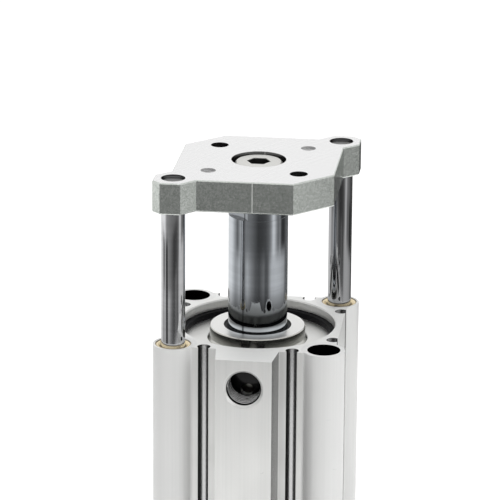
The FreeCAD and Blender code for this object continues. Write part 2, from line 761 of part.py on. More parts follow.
def write_pieces(doc):
    """Checks the document, then writes each piece under its own name."""
    bad = broken_objects(doc)
    if bad:
        raise RuntimeError("failed features: " + ", ".join(bad))
    pieces = [item for item in doc.Objects if item.TypeId in ("PartDesign::Body", "Part::Torus")]
    for piece in pieces:
        if piece.Shape.isNull() or not piece.Shape.isValid():
            raise RuntimeError("no valid shape: " + piece.Label)
    os.makedirs("parts", exist_ok=True)
    for piece in pieces:
        piece.Shape.exportStep("parts/%s.step" % piece.Label)
        print("%-26s %10.1f mm3" % (piece.Label, piece.Shape.Volume))


def main():
    doc = FreeCAD.newDocument("guided_cylinder")
    s = make_sheet(doc)
    at = levels(s)
    for make in (cylinder_tube, rod_cover, rod_cover_o_ring, retaining_ring, rod_bush, rod_seal,
                 piston, piston_bumpers, piston_rings, piston_o_ring, piston_nut, piston_rod,
                 guide_plate, plate_screw):
        make(doc, s, at)
    guide_set(doc, s, at, "front", -1.0)
    guide_set(doc, s, at, "rear", 1.0)
    doc.recompute()
    write_pieces(doc)


main()
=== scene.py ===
"""Studio scene of the guided pneumatic cylinder: finishes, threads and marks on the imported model.

Metres, +Z up along the rod, the ports face -Y.
"""
import json
import math

import bpy
from mathutils import Matrix, Vector


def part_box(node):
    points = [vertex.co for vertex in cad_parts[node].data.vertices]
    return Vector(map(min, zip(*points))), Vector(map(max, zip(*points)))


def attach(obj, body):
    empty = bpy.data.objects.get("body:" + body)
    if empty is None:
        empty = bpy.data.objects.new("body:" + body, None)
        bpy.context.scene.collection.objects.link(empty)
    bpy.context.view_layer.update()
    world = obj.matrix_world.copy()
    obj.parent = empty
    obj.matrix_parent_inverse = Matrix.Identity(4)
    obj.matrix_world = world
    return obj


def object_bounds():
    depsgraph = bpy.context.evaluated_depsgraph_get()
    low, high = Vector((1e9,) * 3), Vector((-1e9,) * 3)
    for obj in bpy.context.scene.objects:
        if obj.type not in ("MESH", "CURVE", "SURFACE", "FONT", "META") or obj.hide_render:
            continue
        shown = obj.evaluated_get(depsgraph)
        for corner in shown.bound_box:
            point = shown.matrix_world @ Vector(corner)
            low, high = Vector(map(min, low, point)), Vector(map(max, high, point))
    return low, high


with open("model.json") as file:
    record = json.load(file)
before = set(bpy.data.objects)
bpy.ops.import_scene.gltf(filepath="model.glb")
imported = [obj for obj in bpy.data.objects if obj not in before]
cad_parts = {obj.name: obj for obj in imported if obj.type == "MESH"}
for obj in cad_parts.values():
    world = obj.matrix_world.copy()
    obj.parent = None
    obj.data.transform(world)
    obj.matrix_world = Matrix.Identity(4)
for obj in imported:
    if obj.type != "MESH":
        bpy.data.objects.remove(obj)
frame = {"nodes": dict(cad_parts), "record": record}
cad_low, cad_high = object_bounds()

MM = 0.001
BODY = "cylinder"
ROD = "rod_assembly"
record = frame["record"]
scene = bpy.context.scene
MOUNTS = {m["name"]: m for m in record["mounts"]}


def corner(node, index):
    """The low (0) or high (1) corner of a node's box."""
    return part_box(node)[index]


def middle(node):
    low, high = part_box(node)
    return (low + high) / 2


def on_square(mount):
    """How far along X, and along Y, the holes of a mount lie from the rod's axis."""
    return MOUNTS[mount]["dims"]["pcd_mm"] * MM / 2 * math.sqrt(0.5)


BODY_TOP = corner("cylinder_tube", 1).z
PORT_FACE = corner("cylinder_tube", 0).y
PLATE_TOP = corner("guide_plate", 1).z
PORT_DRILL = MOUNTS["rod_port"]["dims"]["r_mm"] * MM
PORT_HEIGHTS = {name: MOUNTS[name]["pos_m"][2] for name in ("rod_port", "head_port")}
TAP_RADIUS = MOUNTS["plate_tapped_holes"]["dims"]["hole_r_mm"] * MM
TAP_PLACE = on_square("plate_tapped_holes")
BOLT_PLACE = on_square("body_bolts")
LOBE_PLACE = middle("guide_rod_rear").x

# Where the body's finish changes, and where light and shade are painted on it. A mask reaches a
# little past the wall that it colours.
MARGIN = 0.1 * MM
BOLT_WALL = 5.8 * MM                            # from a bolt hole's axis, counterbore and all
BOSS_SKIN = 7.6 * MM                            # from a corner boss's axis
PORT_WALL = (PORT_FACE + 8.7 * MM, 8.0 * MM)    # middle and half length of a port's wall
CREST_STAND = 0.22 * MM                         # from the wall of a port's drilling in to a thread's crest
BLOCK_HALF = 11.5 * MM                          # half the port block's width
BLOCK_BACK = PORT_FACE * 0.73                   # the block stands out in front of this
SLOT_PLACE, SLOT_HALF = 14.7 * MM, 2.3 * MM     # middle and half width of a sensor slot
SLOT_MOUTH, SLOT_DEPTH = 28.4 * MM, 3.9 * MM    # from the body's axis to just inside its lips
SLOT_MIDDLE = SLOT_MOUTH - SLOT_DEPTH / 2
SLOT_SHADE_FRONT = -20.0 * MM                          # slots in front of this get the darkest painted shade on their walls
BODY_MILL = (-0.03, 0.11)                       # middle of the cutter's arcs on the end faces

# The same for the plate and the screw.
PLATE_HOLES = 25.5 * MM                         # from the axis: all holes but the guide rods'
GUIDE_HOLE = 4.8 * MM                           # from a guide rod's axis
PLATE_MILL = (0.16, -0.09)                      # middle of the cutter's arcs on the top
SEAM_PLACE, SEAM_HALF = 1.0 * MM, 0.13 * MM     # cutter's step-over line on the front
SOCKET_WALL = 4.3 * MM                          # from the screw's axis
SOCKET_TOP = corner("plate_screw", 1).z - 0.3 * MM

# The same for the rods and the bushes.
REFLECTION_BAND_LOW = (BODY_TOP + 0.5 * MM, BODY_TOP + 1.6 * MM)      # where the painted dark reflection on the rods begins
REFLECTION_BAND_HIGH = (BODY_TOP + 5.0 * MM, BODY_TOP + 17.0 * MM)    # and where it fades out
REFLECTION_STREAK = math.radians(-22.9)                 # where a streak of painted dark reflection runs down the rod, from -Y
REFLECTION_STREAK_HALF = (math.radians(1.0), math.radians(2.6))
BUSH_BORE_DARK = (4.25 * MM, 4.75 * MM)             # from a guide rod's axis: the bush's darker edge round the bore
BUSH_RIM = (5.35 * MM, 5.75 * MM)               # and its darker outer edge


# ---------------------------------------------------------------- node helpers

class Graph:
    """A material's node tree, with short calls for the nodes that the finishes share."""

    def __init__(self, name):
        self.material = bpy.data.materials.new(name)
        self.material.use_nodes = True
        self.tree = self.material.node_tree
        self.shader = self.tree.nodes["Principled BSDF"]
        self.place = self.tree.nodes.new("ShaderNodeTexCoord").outputs["Object"]

    def node(self, kind, inputs=(), **settings):
        made = self.tree.nodes.new("ShaderNode" + kind)
        for key, value in settings.items():
            setattr(made, key, value)
        for key, value in dict(inputs).items():
            self.feed(made.inputs[key], value)
        return made

    def feed(self, socket, value):
        if isinstance(value, bpy.types.NodeSocket):
            self.tree.links.new(value, socket)
        else:
            socket.default_value = value

    def set(self, **values):
        names = {"specular": "Specular IOR Level"}
        for key, value in values.items():
            name = names.get(key, key.replace("_", " ").title())
            if name == "Base Color" and not isinstance(value, bpy.types.NodeSocket):
                value = colour(value)
            self.feed(self.shader.inputs[name], value)

    # ---- numbers and colours

    def math(self, operation, first, second=0.0, third=0.0):
        made = self.node("Math", operation=operation)
        for socket, value in zip(made.inputs, (first, second, third)):
            self.feed(socket, value)
        return made.outputs["Value"]

    def product(self, *factors):
        result, *others = factors
        for other in others:
            result = self.math("MULTIPLY", result, other)
        return result

    def any_of(self, masks):
        """The largest of several masks."""
        result, *others = masks
        for other in others:
            result = self.math("MAXIMUM", result, other)
        return result

    def ramp(self, factor, low, high, start, end):
        """From low to high, smoothly, as a factor goes from start to end."""
        made = self.node("MapRange", {"Value": factor, "From Min": start, "From Max": end,
                                      "To Min": low, "To Max": high},
                         interpolation_type="SMOOTHSTEP")
        return made.outputs["Result"]

    def rise(self, factor, start, end):
        """0 up to start, 1 from end on, smooth between."""
        return self.ramp(factor, 0.0, 1.0, start, end)

    def mix(self, factor, first, second):
        """A colour between two colours."""
        made = self.node("Mix", data_type="RGBA")
        self.feed(made.inputs["Factor"], factor)
        for socket, value in ((made.inputs["A"], first), (made.inputs["B"], second)):
            self.feed(socket, value if isinstance(value, bpy.types.NodeSocket) else colour(value))
        return made.outputs["Result"]

    def blend(self, factor, first, second):
        """A number between two numbers."""
        made = self.node("Mix", {"Factor": factor, "A": first, "B": second})
        return made.outputs["Result"]

    def worn(self, edge, share, tone, edge_tone):
        """A colour that turns into another one on the edges: partly wear, partly a painted
        highlight.
        """
        return self.mix(self.math("MULTIPLY", edge, share), tone, edge_tone)

    # ---- patterns and relief

    def stretched(self, scale):
        """Object coordinates multiplied along each axis, for streaks and turning marks."""
        mapping = self.node("Mapping", {"Vector": self.place, "Scale": scale})
        return mapping.outputs["Vector"]

    def noise(self, scale, detail, stretch=None, rough=0.5):
        where = self.place if stretch is None else self.stretched(stretch)
        made = self.node("TexNoise", {"Vector": where, "Scale": scale, "Detail": detail,
                                      "Roughness": rough})
        return made.outputs["Fac"]

    def line_noise(self, along, scale, detail=2.0):
        """Noise that varies with one number only, as a tool's marks do."""
        made = self.node("TexNoise", {"W": along, "Scale": scale, "Detail": detail},
                         noise_dimensions="1D")
        return made.outputs["Fac"]

    def turned(self, up, lines, rings):
        """A lathe's marks: lines round the sides, and rings on the flat faces."""
        return self.blend(up, self.line_noise(self.part("Z"), lines),
                          self.line_noise(self.radius(), rings))

    def scuffs(self, scale, low, high):
        """Sparse hairline scratches, 0 to 1, running every way."""
        warp = self.node("TexNoise", {"Vector": self.place, "Scale": scale * 0.35, "Detail": 2.0})
        bent = self.node("VectorMath", {0: warp.outputs["Color"], 1: (0.012, 0.012, 0.012)},
                         operation="MULTIPLY")
        where = self.node("VectorMath", {0: self.place, 1: bent.outputs["Vector"]},
                          operation="ADD")
        cells = self.node("TexVoronoi", {"Vector": where.outputs["Vector"], "Scale": scale},
                          feature="DISTANCE_TO_EDGE")
        line = self.ramp(cells.outputs["Distance"], 1.0, 0.0, 0.0, 0.02)
        return self.product(line, self.rise(self.noise(scale * 0.6, 2.0), low, high))

    def bump(self, height, distance, strength, onto=None):
        made = self.node("Bump", {"Height": height, "Strength": strength,
                                  "Distance": distance})
        if onto is not None:
            self.feed(made.inputs["Normal"], onto)
        return made.outputs["Normal"]

    def rounded(self, radius):
        """A normal that rounds the sharp edges, and how near an edge is, 0 to 1."""
        soft = self.node("Bevel", {"Radius": radius}, samples=6).outputs["Normal"]
        plain = self.node("NewGeometry").outputs["Normal"]
        along = self.node("VectorMath", {0: soft, 1: plain}, operation="DOT_PRODUCT")
        return soft, self.ramp(along.outputs["Value"], 1.0, 0.0, 0.86, 0.995)

    # ---- places and directions

    def part(self, axis):
        """One component of the object coordinates."""
        return self.node("SeparateXYZ", {"Vector": self.place}).outputs[axis]

    def distance(self, start, keep):
        """Distance from a point, along the axes that have a 1 in keep."""
        moved = self.node("VectorMath", {0: self.place, 1: start}, operation="SUBTRACT")
        kept = self.node("VectorMath", {0: moved.outputs["Vector"], 1: keep},
                         operation="MULTIPLY")
        return self.node("VectorMath", {0: kept.outputs["Vector"]},
                         operation="LENGTH").outputs["Value"]

    def radius(self, x=0.0, y=0.0):
        """Distance from an upright axis."""
        return self.distance((x, y, 0.0), (1.0, 1.0, 0.0))

    def turn(self):
        """Angle round the rod's axis, 0 towards -Y and growing towards +X."""
        return self.math("ARCTAN2", self.part("X"), self.math("MULTIPLY", self.part("Y"), -1.0))

    def facing(self, axis):
        """How far the surface faces along an axis of the row frame, -1 to 1."""
        normal = self.node("NewGeometry").outputs["True Normal"]
        return self.node("SeparateXYZ", {"Vector": normal}).outputs[axis]

    def level_face(self, start, end):
        """1 on faces that lie level, up or down, and 0 on upright ones."""
        return self.rise(self.math("ABSOLUTE", self.facing("Z")), start, end)

    # ---- masks, 1 inside and else 0

    def hole(self, x, y, radius):
        """Within a radius of an upright axis."""
        return self.math("LESS_THAN", self.radius(x, y), radius)

    def near_port_axis(self, radius):
        """Within a radius of an air port's axis."""
        return self.any_of([
            self.math("LESS_THAN", self.distance((0.0, 0.0, height), (1.0, 0.0, 1.0)), radius)
            for height in PORT_HEIGHTS.values()])

    def port_walls(self):
        """Inside the air ports, past their countersinks."""
        return self.product(self.near_port_axis(PORT_DRILL + MARGIN),
                            self.math("COMPARE", self.part("Y"), *PORT_WALL))

    def thread_crests(self):
        """On what stands in from the wall of an air port's drilling, but not on its end."""
        return self.product(self.math("LESS_THAN", self.math("ABSOLUTE", self.facing("Y")), 0.95),
                            self.near_port_axis(PORT_DRILL - CREST_STAND))

    def block_flank(self):
        """On the port block's flank towards +X."""
        return self.product(
            self.math("GREATER_THAN", self.facing("X"), 0.9),
            self.math("LESS_THAN", self.math("ABSOLUTE", self.part("X")), BLOCK_HALF),
            self.math("LESS_THAN", self.part("Y"), BLOCK_BACK))

    def slots(self):
        """Inside a sensor slot; and how squarely the surface there faces out, 0 to 1."""
        along = [self.math("ABSOLUTE", self.part(axis)) for axis in "XY"]
        turned = [self.math("ABSOLUTE", self.facing(axis)) for axis in "XY"]
        inside, outward = [], []
        for near, far, face in ((*along, turned[1]), (*reversed(along), turned[0])):
            here = self.product(self.math("COMPARE", near, SLOT_PLACE, SLOT_HALF),
                                self.math("COMPARE", far, SLOT_MIDDLE, SLOT_DEPTH / 2))
            inside.append(here)
            outward.append(self.product(here, face))
        return self.any_of(inside), self.rise(self.any_of(outward), 0.6, 0.95)


def colour(value):
    """A grey level or a colour as the four numbers a socket takes."""
    if isinstance(value, (int, float)):
        value = (value, value, value)
    return (*value[:3], 1.0)


def shade(tone, factor):
    return tuple(c * factor for c in tone)


# ---------------------------------------------------------------- finishes

def body_aluminium():
    """Satin anodised extrusion with drawn streaks; milled ends; bright edges, part wear and part
    painted highlight.

    Bolt holes, ports and slots are painted dark inside as painted shade, with pale thread crests
    and paler slot floors;
    the corner bosses carry a less metallic copy of the finish as painted light, and the port
    block's flank towards +X is painted dark grey as a painted reflection.
    """
    g = Graph("body_aluminium_anodised")
    end_face = g.level_face(0.7, 0.95)
    side_face = g.math("SUBTRACT", 1.0, end_face)
    boss = g.any_of([g.hole(x * BOLT_PLACE, y * BOLT_PLACE, BOSS_SKIN)
                     for x in (-1, 1) for y in (-1, 1)])
    bolts = g.any_of([g.hole(x * BOLT_PLACE, -x * BOLT_PLACE, BOLT_WALL) for x in (1, -1)])
    shaded_holes = g.any_of([g.product(side_face, bolts), g.port_walls()])
    inside, slot_floor = g.slots()
    slot = g.product(inside, side_face)
    flank = g.block_flank()

    soft, edge = g.rounded(0.28 * MM)
    fine = g.noise(1.0, 2.0, (1500, 1500, 14))
    broad = g.noise(1.0, 2.0, (260, 260, 5))
    streak = g.blend(0.55, fine, broad)
    mill = g.line_noise(g.radius(*BODY_MILL), 2600, 1.0)
    scratch = g.scuffs(130, 0.60, 0.75)

    side = g.mix(g.rise(streak, 0.25, 0.75), (0.665, 0.67, 0.655), (0.735, 0.735, 0.72))
    face = g.mix(g.rise(mill, 0.2, 0.8), (0.83, 0.835, 0.82), (0.89, 0.89, 0.875))
    # The edges turn pale: part wear, part painted highlight.
    tone = g.worn(edge, 0.7, g.mix(end_face, side, face), 0.92)
    # Painted light: the corner bosses carry a less metallic copy of the finish, its tone pulled
    # towards 0.72, so their flanks render lighter.
    tone = g.mix(g.math("MULTIPLY", boss, 0.35), tone, 0.72)
    # Painted reflection: the port block's flank towards +X is painted dark grey for the dark that
    # it reflects.
    tone = g.mix(flank, tone, g.blend(streak, 0.17, 0.27))
    # Painted shade: bolt hole and port walls are painted near black, the port threads' crests kept
    # pale.
    tone = g.mix(shaded_holes, tone, g.mix(g.thread_crests(), 0.02, 0.80))
    # Painted shade: slot walls are painted dark, darkest in the slots towards -Y, and the slot
    # floors paler.
    slot_wall_shade = g.blend(g.math("LESS_THAN", g.part("Y"), SLOT_SHADE_FRONT), 0.22, 0.06)
    tone = g.mix(slot, tone, g.mix(slot_floor, slot_wall_shade, 0.55))

    handled = g.rise(g.noise(90, 3.0), 0.35, 0.75)
    rough = g.blend(end_face, g.blend(handled, 0.32, 0.42), g.blend(mill, 0.46, 0.56))
    for mask, level in ((shaded_holes, 0.12), (slot, 0.25), (flank, 0.24)):
        rough = g.blend(mask, rough, level)
    metallic = g.blend(end_face, g.blend(boss, 0.60, 0.12), 0.42)
    relief = g.blend(end_face, g.blend(0.35, fine, g.noise(5200, 2.0)), mill)
    g.set(base_color=tone, metallic=g.blend(g.any_of([flank, slot, shaded_holes]), metallic, 0.97),
          roughness=g.math("SUBTRACT", rough, g.math("MULTIPLY", scratch, 0.10)),
          normal=g.bump(scratch, 0.004 * MM, 0.3, onto=g.bump(relief, 0.012 * MM, 0.8, soft)))
    return g.material


def cover_aluminium():
    """Turned on a lathe, clear anodised: rings on the faces, lines round the boss."""
    g = Graph("cover_aluminium_turned")
    soft, edge = g.rounded(0.15 * MM)
    up = g.level_face(0.6, 0.95)
    marks = g.turned(up, 5600, 5200)
    tone = g.mix(up, g.mix(marks, (0.42, 0.42, 0.385), (0.56, 0.56, 0.52)),
                 g.mix(marks, (0.80, 0.80, 0.78), (0.87, 0.87, 0.855)))
    g.set(base_color=g.worn(edge, 0.5, tone, 0.93), metallic=0.98,
          roughness=g.blend(up, g.blend(marks, 0.12, 0.20), g.blend(marks, 0.28, 0.38)),
          normal=g.bump(marks, 0.010 * MM, 0.8, onto=soft))
    return g.material


def plate_aluminium():
    """Milled top and bottom with feed arcs; speckled blasted sides, with a seam in front.

    The holes are painted dark inside as painted shade, apart from the paler threads of the tapped
    ones.
    """
    g = Graph("plate_aluminium_milled")
    up = g.level_face(0.75, 0.97)
    signs = (-1, 1)
    holes = [g.hole(s * LOBE_PLACE, s * LOBE_PLACE, GUIDE_HOLE) for s in signs]
    shaded_bores = g.product(g.any_of([g.hole(0.0, 0.0, PLATE_HOLES), *holes]),
                      g.math("SUBTRACT", 1.0, up))
    taps = [g.hole(s * TAP_PLACE, s * TAP_PLACE, TAP_RADIUS + MARGIN) for s in signs]
    tapped = g.product(g.any_of(taps), g.math("LESS_THAN", g.part("Z"), PLATE_TOP - MARGIN))
    seam = g.product(g.math("COMPARE", g.part("X"), SEAM_PLACE, SEAM_HALF),
                     g.math("LESS_THAN", g.facing("Y"), -0.9))

    soft, edge = g.rounded(0.25 * MM)
    arcs = g.line_noise(g.radius(*PLATE_MILL), 1900, 1.0)
    grain = g.noise(2900, 4.0, rough=0.7)
    speck = g.noise(1100, 3.0, rough=0.6)
    scratch = g.scuffs(150, 0.52, 0.60)

    side = g.mix(g.rise(g.blend(0.30, grain, speck), 0.32, 0.68), (0.45, 0.485, 0.45),
                 (0.79, 0.82, 0.785))
    # The edges turn pale: part wear, part painted highlight.
    tone = g.worn(edge, 0.8, g.mix(up, side, g.mix(arcs, 0.84, 0.90)), 0.95)
    # Painted shade: the walls of the holes are painted dark.
    tone = g.mix(shaded_bores, tone, 0.14)
    tone = g.mix(tapped, tone, 0.60)
    # The cutter's step-over seam: a real line, painted paler as a painted highlight on its small
    # step.
    tone = g.mix(g.math("MULTIPLY", seam, 0.35), tone, 1.0)
    rough = g.blend(up, g.blend(grain, 0.17, 0.27), g.blend(arcs, 0.22, 0.30))
    rough = g.blend(seam, rough, 0.6)
    g.set(base_color=tone, metallic=g.blend(tapped, 0.95, 0.35),
          roughness=g.math("SUBTRACT", rough, g.math("MULTIPLY", scratch, 0.08)),
          normal=g.bump(g.blend(up, grain, arcs), 0.022 * MM, 0.9, onto=soft))
    return g.material


def piston_aluminium():
    """Turned all over: rings on the flat faces and lines round the sides."""
    g = Graph("piston_aluminium_turned")
    tone = (0.76, 0.76, 0.75)
    soft, edge = g.rounded(0.12 * MM)
    marks = g.turned(g.level_face(0.6, 0.95), 5200, 5200)
    g.set(base_color=g.worn(edge, 0.4, g.mix(marks, shade(tone, 0.88), tone), 0.9),
          metallic=0.9, roughness=g.blend(marks, 0.26, 0.36),
          normal=g.bump(marks, 0.010 * MM, 0.8, onto=soft))
    return g.material


def ground_rod(name, tone, rough, band_depth, streak_depth=0.0):
    """Ground steel: hairline rings, rub marks, a painted dark reflection above the body and dull
    end faces.

    The rear guide rod, the one towards +X, is painted darker as painted shade. The last argument
    sets how strong the streak of painted dark reflection is.
    """
    g = Graph(name)
    lines = g.line_noise(g.part("Z"), 9000, 3.0)
    bands = g.line_noise(g.part("Z"), 420, 2.0)
    film = g.rise(g.noise(1.0, 3.0, (120, 120, 30)), 0.4, 0.7)
    rub = g.rise(g.noise(1.0, 2.0, (900, 900, 12)), 0.60, 0.72)
    base = g.mix(g.rise(bands, 0.3, 0.7), tone, shade(tone, 0.94))
    # Painted dark reflection: the rods turn near black just above the body, fading higher up.
    reflection_band = g.product(g.ramp(g.part("Z"), 0.0, band_depth, *REFLECTION_BAND_LOW),
                      g.ramp(g.part("Z"), 1.0, 0.0, *REFLECTION_BAND_HIGH))
    base = g.mix(reflection_band, base, (0.04, 0.04, 0.035))
    # Painted dark reflection: a dark streak down the rod at a fixed turn.
    away = g.math("ABSOLUTE", g.math("SUBTRACT", g.turn(), REFLECTION_STREAK))
    base = g.mix(g.ramp(away, streak_depth, 0.0, *REFLECTION_STREAK_HALF), base, (0.05, 0.05, 0.05))
    # Painted shade: the rear guide rod, towards +X, is darker all over.
    base = g.mix(g.math("GREATER_THAN", g.part("X"), LOBE_PLACE / 2), base, shade(tone, 0.62))
    end = g.level_face(0.8, 0.95)
    base = g.mix(end, base, g.mix(g.line_noise(g.radius(), 2600), 0.07, 0.24))
    level = g.blend(g.blend(0.5, lines, film), *rough)
    level = g.math("ADD", level, g.math("MULTIPLY", rub, 0.035))
    g.set(base_color=base, metallic=1.0, roughness=g.blend(end, level, 0.30),
          normal=g.bump(lines, 0.0012 * MM, 0.6))
    return g.material


def plated_steel():
    """Zinc plated screw steel, slightly mottled, with painted shade darkening its socket."""
    g = Graph("zinc_steel_plated")
    soft, edge = g.rounded(0.12 * MM)
    up = g.rise(g.facing("Z"), 0.6, 0.95)
    mottle = g.noise(900, 4.0)
    rings = g.line_noise(g.radius(), 3800)
    base = g.mix(g.blend(up, mottle, g.blend(0.5, mottle, rings)), (0.60, 0.60, 0.58),
                 (0.76, 0.75, 0.72))
    # Painted shade: the socket is painted near black.
    socket = g.product(g.hole(0.0, 0.0, SOCKET_WALL),
                       g.math("LESS_THAN", g.part("Z"), SOCKET_TOP))
    g.set(base_color=g.mix(socket, g.worn(edge, 0.5, base, 0.9), 0.06), metallic=0.9,
          roughness=g.blend(mottle, 0.26, 0.40),
          normal=g.bump(g.blend(up, mottle, rings), 0.010 * MM, 0.8, onto=soft))
    return g.material


def black_steel():
    """Blackened, greased spring steel with scuffed edges."""
    g = Graph("black_spring_steel_oiled")
    soft, edge = g.rounded(0.12 * MM)
    mottle = g.noise(1400, 4.0)
    base = g.mix(mottle, (0.006, 0.006, 0.007), (0.016, 0.016, 0.018))
    g.set(base_color=g.worn(edge, 0.6, base, 0.08), metallic=0.0,
          roughness=g.blend(mottle, 0.40, 0.55), specular=0.04,
          normal=g.bump(mottle, 0.012 * MM, 0.6, onto=soft))
    return g.material


def bronze():
    """Sintered bronze with fine pores, darker round the bore, and darker round the rim."""
    g = Graph("bush_bronze_sintered")
    soft, edge = g.rounded(0.5 * MM)
    pores = g.rise(g.noise(4200, 3.0), 0.35, 0.62)
    base = g.mix(pores, (0.66, 0.52, 0.30), (0.96, 0.84, 0.58))
    out = g.math("MINIMUM", g.radius(-LOBE_PLACE, -LOBE_PLACE), g.radius(LOBE_PLACE, LOBE_PLACE))
    base = g.mix(g.ramp(out, 0.85, 0.0, *BUSH_BORE_DARK), base, (0.07, 0.055, 0.035))
    base = g.mix(g.ramp(out, 0.0, 0.70, *BUSH_RIM), base, (0.30, 0.23, 0.13))
    g.set(base_color=g.worn(edge, 0.6, base, (0.95, 0.86, 0.66)),
          metallic=0.97, roughness=g.blend(pores, 0.28, 0.12),
          normal=g.bump(pores, 0.014 * MM, 0.6, onto=soft))
    return g.material


def rubber(name, tone, rough):
    """Moulded rubber or plastic with a faint grain."""
    g = Graph(name)
    grain = g.noise(3000, 3.0)
    base = g.mix(g.noise(350, 2.0), shade(tone, 0.8), shade(tone, 1.2))
    g.set(base_color=base, metallic=0.0, roughness=g.blend(grain, *rough), specular=0.10,
          normal=g.bump(grain, 0.010 * MM, 0.6))
    return g.material


FINISHES = {
    "body_aluminium": body_aluminium(),
    "cover_aluminium": cover_aluminium(),
    "plate_aluminium": plate_aluminium(),
    "piston_aluminium": piston_aluminium(),
    "chromed_rod": ground_rod("chromed_rod_ground", (0.635, 0.67, 0.71), (0.04, 0.07), 0.80,
                              streak_depth=0.72),
    "guide_rod_steel": ground_rod("guide_rod_ground", (0.74, 0.745, 0.76), (0.05, 0.09), 0.20),
    "zinc_steel": plated_steel(),
    "black_spring_steel": black_steel(),
    "bush_bronze": bronze(),
    "seal_rubber": rubber("seal_rubber_moulded", (0.010, 0.010, 0.010), (0.38, 0.50)),
    "bumper_rubber": rubber("bumper_rubber_moulded", (0.05, 0.05, 0.046), (0.45, 0.60)),
    "wear_plastic": rubber("wear_plastic_moulded", (0.62, 0.59, 0.52), (0.42, 0.55)),
    "magnet_compound": rubber("magnet_compound_bonded", (0.085, 0.08, 0.08), (0.45, 0.60)),
}

for subpart in record["subparts"]:
    mesh = frame["nodes"][subpart["node"]].data
    mesh.materials.clear()
    mesh.materials.append(FINISHES[subpart["material_slot"]])


# ---------------------------------------------------------------- pieces

def plain_mesh(name, verts, faces, material):
    mesh = bpy.data.meshes.new(name)
    mesh.from_pydata([tuple(v) for v in verts], [], faces)
    mesh.materials.append(material)
    made = bpy.data.objects.new(name, mesh)
    scene.collection.objects.link(made)
    return made


def piece(name, verts, faces, body, slot):
    """A mesh that rides on a body and takes the finish of a material slot."""
    made = plain_mesh(name, verts, faces, FINISHES[slot])
    made.data.validate()
    made.data.update()
    made.data.polygons.foreach_set("use_smooth", [True] * len(made.data.polygons))
    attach(made, body)


def inner_thread(name, mouth, inward, wall, pitch, turns, rise, body, slot):
    """The ridge of a screw thread in a hole: right-handed, running in from mouth.

    It rises from nothing over the first third of a turn, and sinks again over the last.
    """
    steps = 36                     # round one turn
    axis = Vector(inward).normalized()
    side = axis.orthogonal().normalized()
    other = axis.cross(side)
    root = 0.04 * MM               # sunk into the wall; the second numbers are shares of a pitch
    profile = ((root, -0.47), (-0.9 * rise, -0.10), (-rise, 0.0), (-0.9 * rise, 0.10),
               (root, 0.47))
    verts, faces = [], []
    count = round(turns * steps)
    for i in range(count + 1):
        angle = 2 * math.pi * i / steps
        fade = min(1.0, 3.0 * i / steps, 3.0 * (count - i) / steps)
        spoke = side * math.cos(angle) + other * math.sin(angle)
        for out, along in profile:
            reach = wall + (out if out > 0 else out * fade)
            verts.append(Vector(mouth) + spoke * reach
                         + axis * pitch * (i / steps + 0.5 + along * (0.3 + 0.7 * fade)))
    rows = len(profile)
    for i in range(count):
        for k in range(rows - 1):
            a = i * rows + k
            faces.append((a, a + rows, a + rows + 1, a + 1))
        faces.append((i * rows, i * rows + rows - 1, (i + 1) * rows + rows - 1, (i + 1) * rows))
    faces.append(tuple(range(rows)))
    faces.append(tuple(reversed(range(count * rows, (count + 1) * rows))))
    piece(name, verts, faces, body, slot)


PORT_THREAD = {"pitch": 1.337 * MM, "turns": 6.4, "rise": 0.42 * MM}
PORT_LEAD_IN = 1.0 * MM
for mount, height in PORT_HEIGHTS.items():
    inner_thread(mount + "_thread", (0, PORT_FACE + PORT_LEAD_IN, height), (0, 1, 0),
                 PORT_DRILL, body=BODY, slot="body_aluminium", **PORT_THREAD)

TAP_THREAD = {"pitch": 1.0 * MM, "turns": 9.4, "rise": 0.28 * MM}
TAP_LEAD_IN = 0.3 * MM
for label, sign in (("front", -1), ("rear", 1)):
    inner_thread("plate_thread_" + label,
                 (sign * TAP_PLACE, sign * TAP_PLACE, PLATE_TOP - TAP_LEAD_IN), (0, 0, -1),
                 TAP_RADIUS, body=ROD, slot="plate_aluminium", **TAP_THREAD)


# ---------------------------------------------------------------- camera

AZIMUTH, ELEVATION, ROLL = (math.radians(v) for v in (6.779, 18.073, 0.384))
DISTANCE = 1.201
FOCAL = 3558.18                   # pixels
PICTURE = 500                     # pixels
SENSOR = 36.0                     # millimetres
CLIP = (0.01, 100)                # metres
TARGET = (257.58, 321.904)        # where the rod's axis meets the body's top, in pixels

back = Vector((math.sin(AZIMUTH) * math.cos(ELEVATION),
               -math.cos(AZIMUTH) * math.cos(ELEVATION), math.sin(ELEVATION)))
level = Vector((math.cos(AZIMUTH), math.sin(AZIMUTH), 0))
rise = back.cross(level)
right = math.cos(ROLL) * level + math.sin(ROLL) * rise
upward = math.cos(ROLL) * rise - math.sin(ROLL) * level
shift_x = (TARGET[0] - PICTURE / 2) * DISTANCE / FOCAL
shift_y = -(TARGET[1] - PICTURE / 2) * DISTANCE / FOCAL

lens = bpy.data.cameras.new("camera")
lens.sensor_width = SENSOR
lens.lens = FOCAL / PICTURE * SENSOR
lens.clip_start, lens.clip_end = CLIP
camera = bpy.data.objects.new("camera", lens)
scene.collection.objects.link(camera)
camera.matrix_world = Matrix.Translation(
    Vector((0, 0, BODY_TOP)) + back * DISTANCE - right * shift_x - upward * shift_y
) @ Matrix((right, upward, back)).transposed().to_4x4()
scene.camera = camera
scene.view_settings.view_transform = "Standard"


# ---------------------------------------------------------------- studio

def seen_directly(tree):
    """1 for rays from the camera, from a glossy surface or through glass, else 0."""
    path = tree.nodes.new("ShaderNodeLightPath")
    total = path.outputs["Is Camera Ray"]
    for ray in ("Is Glossy Ray", "Is Transmission Ray"):
        larger = tree.nodes.new("ShaderNodeMath")
        larger.operation = "MAXIMUM"
        tree.links.new(total, larger.inputs[0])
        tree.links.new(path.outputs[ray], larger.inputs[1])
        total = larger.outputs["Value"]
    return total


